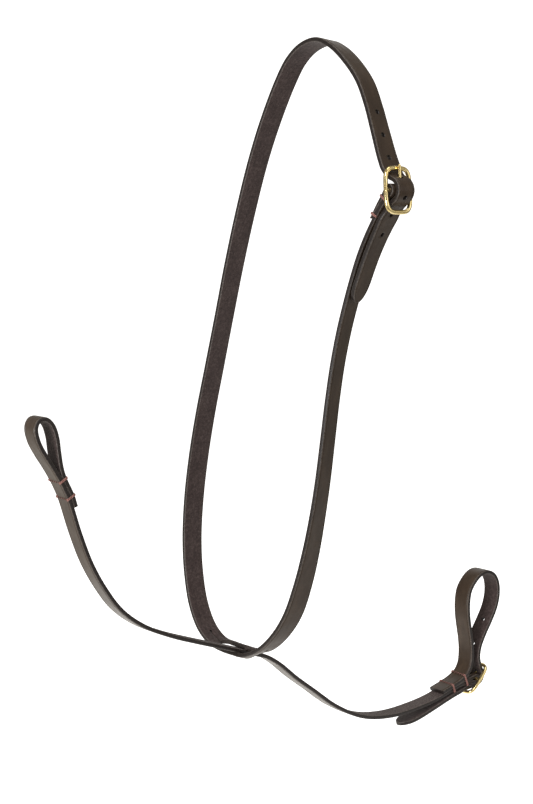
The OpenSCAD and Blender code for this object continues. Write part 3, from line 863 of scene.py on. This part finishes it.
def stitch_row(name, path_kind, place, slope, width, stack, body, node, count=5, seed=1):
    """Hand stitching across a strap: slanting stitches on both faces, and thread taken twice
    round each edge. place and slope are the stack's middle and the strap's direction there."""
    a = math.radians(slope)
    if path_kind == "neck":
        c = Vector((place[0] * MM, 0, place[1] * MM))
        t, w = Vector((math.cos(a), 0, math.sin(a))), Vector((0, 1, 0))
    else:
        c = Vector((BODY_X, place[0] * MM, place[1] * MM))
        t, w = Vector((0, math.cos(a), math.sin(a))), Vector((1, 0, 0))
    n = w.cross(t)
    bm = bmesh.new()
    uv = bm.loops.layers.uv.new("strap")
    rng = np.random.default_rng(seed)
    h, r = stack / 2 * MM, THREAD_R
    pitch = (width - 2 * STITCH_INSET) / count
    for face in (1, -1):
        for k in range(count):
            x0 = -width / 2 + STITCH_INSET + pitch * k + 0.0001
            x1 = x0 + pitch * 0.6
            lean = 0.0008 * face + rng.normal(0, 0.00008)
            pts = []
            for f in np.linspace(0, 1, 9):
                rise = h * face + face * (r * 0.55 - 0.0009 * (2 * f - 1) ** 6)
                pts.append(c + w * (x0 + (x1 - x0) * f) + t * (lean * (2 * f - 1)) + n * rise)
            tube(bm, uv, pts, [r * (1 - 0.25 * abs(2 * f - 1) ** 4) for f in np.linspace(0, 1, 9)],
                 sides=8, material=1)
    # thread round the two edges, two passes side by side
    for side in (1, -1):
        for shift in (-0.00045, 0.00045):
            pts = []
            slant = 0.0007 * side
            for f in np.linspace(0, 1, 19):
                # from one face, over the edge, to the other face
                x = width / 2 + 0.00003
                if f < 0.2:
                    q = f / 0.2
                    u, v = x - EDGE_REACH + q * EDGE_REACH, h + r * 0.7
                    v -= 0.0007 * (1 - q) ** 3
                elif f > 0.8:
                    q = (1 - f) / 0.2
                    u, v = x - EDGE_REACH + q * EDGE_REACH, -h - r * 0.7
                    v += 0.0007 * (1 - q) ** 3
                else:
                    q = (f - 0.2) / 0.6
                    u, v = x, (h + r * 0.7) * (1 - 2 * q)
                pts.append(c + w * (u * side) + t * (shift + slant * (2 * f - 1)) + n * v)
            tube(bm, uv, pts, r * 1.15, sides=8, material=0)
    ob = finish_mesh(name, bm, (THREAD, THREAD_DARK), sharp_deg=70)
    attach(ob, body)
    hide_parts(node)


for row in (
        ("neck_thread_upper", "neck", (75.6, -116.6), 47, NECK_W, 7.0, "neck",
         "neck_stitch_upper", 6, 1),
        ("neck_thread_lower", "neck", (65.7, -128.4), 52, NECK_W, 5.2, "neck",
         "neck_stitch_lower", 6, 2),
        ("noseband_thread_upper", "body", (-174.35, -327.3), -65, BODY_W, 7.1, "nose_loop",
         "noseband_stitch_upper", 5, 3),
        ("noseband_thread_lower", "body", (-167.8, -340.9), -66.5, BODY_W, 7.2, "nose_loop",
         "noseband_stitch_lower", 5, 4),
        ("girth_thread_outer", "body", (249, -568.9), 15, GIRTH_W, 7.6, "girth_end",
         "girth_stitch_outer", 5, 5),
        ("girth_thread_inner", "body", (265.5, -564.1), 18, GIRTH_W, 11.0, "girth_end",
         "girth_stitch_inner", 5, 6)):
    stitch_row(*row)

# ---- floor and light ----------------------------------------------------------------------------


def paper():
    n = Nodes("paper")
    place = n.add("ShaderNodeTexCoord").outputs["Object"]
    shade = n.ramp(n.noise(place, 2.0, 2, 0.4), [(0.3, (0.93,) * 3), (0.7, (0.95,) * 3)])
    n.link(shade, n.bsdf.inputs["Base Color"])
    n.bsdf.inputs["Roughness"].default_value = 0.9
    n.bsdf.inputs["Specular IOR Level"].default_value = 0.1
    n.bsdf.inputs["Emission Color"].default_value = (1, 1, 1, 1)
    n.bsdf.inputs["Emission Strength"].default_value = 1.0
    return n.material


# a room of paper, turned about the upright axis: floor, rounded corner, wall, rounded top
FLOOR_Z, WALL_TOP, ROOM_R, CORNER_R, ROOM_SIDES = -0.78, 3.0, 5.0, 1.5, 64
flat_r = ROOM_R - CORNER_R
corner = [math.radians(a) for a in range(0, 91, 6)]
section = ([(0.02, FLOOR_Z)]
           + [(flat_r + CORNER_R * math.sin(a), FLOOR_Z + CORNER_R * (1 - math.cos(a)))
              for a in corner]
           + [(ROOM_R, WALL_TOP)]
           + [(flat_r + CORNER_R * math.cos(a), WALL_TOP + CORNER_R * math.sin(a))
              for a in corner]
           + [(0.02, WALL_TOP + CORNER_R)])
bm = bmesh.new()
turns = np.linspace(0, 2 * math.pi, ROOM_SIDES, endpoint=False)
rounds = [[bm.verts.new((r * math.cos(a), r * math.sin(a), z)) for a in turns]
          for r, z in section]
for a, b in zip(rounds, rounds[1:]):
    for k in range(ROOM_SIDES):
        m = (k + 1) % ROOM_SIDES
        bm.faces.new((a[k], a[m], b[m], b[k]))
bm.faces.new(rounds[0])
bm.faces.new(rounds[-1])
floor = finish_mesh("floor", bm, (paper(),), outward=False)
# the paper shows white but doesn't light the leather: the softboxes and the sky do
floor.visible_diffuse = floor.visible_glossy = floor.visible_shadow = False


def studio_sky():
    """Even soft light, with a bright wall low down behind the part, which the waxed leather
    catches."""
    world = bpy.data.worlds.new("studio")
    bpy.context.scene.world = world
    world.use_nodes = True
    nodes, links = world.node_tree.nodes, world.node_tree.links
    apart = nodes.new("ShaderNodeSeparateXYZ")
    links.new(nodes.new("ShaderNodeTexCoord").outputs["Generated"], apart.inputs[0])
    shares = []
    for axis, start, full in ((0, -0.15, -0.65), (2, -0.05, -0.45)):
        share = nodes.new("ShaderNodeMapRange")
        share.inputs[1].default_value, share.inputs[2].default_value = start, full
        links.new(apart.outputs[axis], share.inputs[0])
        shares.append(share)
    both, bright = nodes.new("ShaderNodeMath"), nodes.new("ShaderNodeMath")
    both.operation, bright.operation = "MULTIPLY", "MULTIPLY_ADD"
    for k in (0, 1):
        links.new(shares[k].outputs[0], both.inputs[k])
    links.new(both.outputs[0], bright.inputs[0])
    bright.inputs[1].default_value, bright.inputs[2].default_value = 0.6, 0.34
    nodes["Background"].inputs[0].default_value = (1, 0.96, 0.87, 1)
    links.new(bright.outputs[0], nodes["Background"].inputs[1])


studio_sky()


def softbox(name, place, target, size, power):
    light = bpy.data.lights.new(name, "AREA")
    light.shape, light.size, light.energy = "DISK", size, power
    ob = bpy.data.objects.new(name, light)
    ob.location = place
    ob.rotation_euler = (Vector(target) - Vector(place)).to_track_quat("-Z", "Y").to_euler()
    ob.visible_camera = False
    bpy.context.scene.collection.objects.link(ob)


softbox("key", (1.1, -1.6, 1.2), (0, 0, -0.3), 0.9, 22)
softbox("fill", (1.7, 0.7, 0.3), (0, 0, -0.3), 1.2, 5)
softbox("left", (0.5, -2.2, -0.5), (0, -0.1, -0.4), 0.8, 34)
softbox("under", (-0.1, 0.2, -0.77), (-0.1, 0.1, 0), 1.4, 3)
softbox("back", (-1.6, 1.5, 0.6), (0, 0, -0.3), 1.6, 5)
softbox("top", (0.3, 0.1, 1.6), (0, 0, -0.3), 1.0, 9)
bpy.context.scene.view_settings.view_transform = "Standard"
